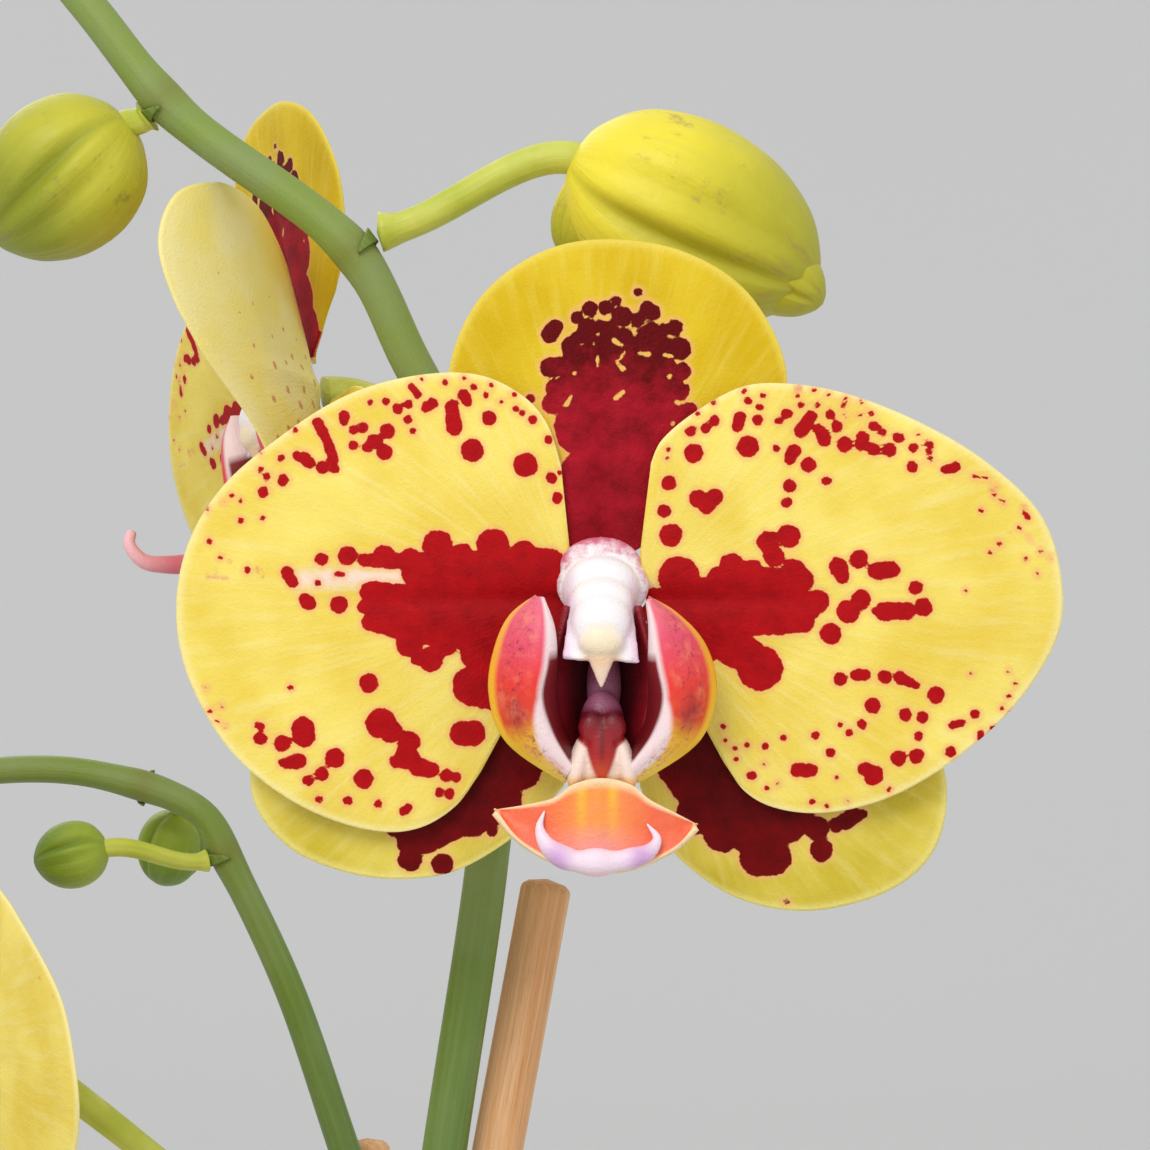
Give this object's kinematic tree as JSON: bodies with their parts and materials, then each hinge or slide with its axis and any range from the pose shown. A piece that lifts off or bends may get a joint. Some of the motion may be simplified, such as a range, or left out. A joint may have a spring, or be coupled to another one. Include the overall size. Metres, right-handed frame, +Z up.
{
  "type": "potted orchid",
  "caption": "Moth orchid in a plain round pot of bark, with strap leaves, staked arching flower spikes, spotted yellow flowers and buds.",
  "frame": {"origin": "centre of the pot's flat underside", "axes": "+Z up, -Y the way the large front flower faces, +X to the right of a viewer who faces that flower"},
  "size_m": [0.3844, 0.1981, 0.5373],
  "materials": {
    "pot_glaze": "plain off-white glaze",
    "bark": "rough bark chips",
    "leaf": "smooth waxy leaf",
    "root": "dry silvery root skin",
    "stem": "waxy green stem",
    "stake_wood": "pale split wood",
    "clip": "translucent green plastic",
    "petal": "lemon yellow petal with crimson spots",
    "dorsal_sepal": "golden sepal with a crimson blotch",
    "lateral_sepal": "maroon sepal with a yellow rim",
    "column": "waxy white with lilac",
    "lip": "waxy orange and magenta",
    "bud": "waxy yellow bud"
  },
  "bodies": {
    "root": {"pot": "pot_glaze", "bark_medium": "bark", "crown": "leaf", "leaf_left_lower": "leaf", "leaf_left_middle": "leaf", "leaf_left_upper": "leaf", "leaf_right_lower": "leaf", "leaf_right_middle": "leaf", "leaf_right_upper": "leaf", "root_front": "root", "root_back": "root", "root_right": "root", "root_under_leaf": "root", "main_spike": "stem", "second_spike": "stem", "main_stake": "stake_wood", "second_stake": "stake_wood", "main_clip_lower": "clip", "main_clip_upper": "clip", "second_clip": "clip", "flower_front_petal_left": "petal", "flower_front_petal_right": "petal", "flower_front_dorsal_sepal": "dorsal_sepal", "flower_front_lateral_sepal_left": "lateral_sepal", "flower_front_lateral_sepal_right": "lateral_sepal", "flower_front_column": "column", "flower_front_lip": "lip", "flower_front_pedicel": "stem", "flower_side_petal_left": "petal", "flower_side_petal_right": "petal", "flower_side_dorsal_sepal": "dorsal_sepal", "flower_side_lateral_sepal_left": "lateral_sepal", "flower_side_lateral_sepal_right": "lateral_sepal", "flower_side_column": "column", "flower_side_lip": "lip", "flower_side_pedicel": "stem", "flower_low_petal_left": "petal", "flower_low_petal_right": "petal", "flower_low_dorsal_sepal": "dorsal_sepal", "flower_low_lateral_sepal_left": "lateral_sepal", "flower_low_lateral_sepal_right": "lateral_sepal", "flower_low_column": "column", "flower_low_lip": "lip", "flower_low_pedicel": "stem", "bud_right": "bud", "bud_left": "bud", "bud_tip_one": "bud", "bud_tip_two": "bud", "bud_second_one": "bud", "bud_second_two": "bud", "main_end_bud": "bud", "second_end_bud": "bud"}
  },
  "joints": []
}
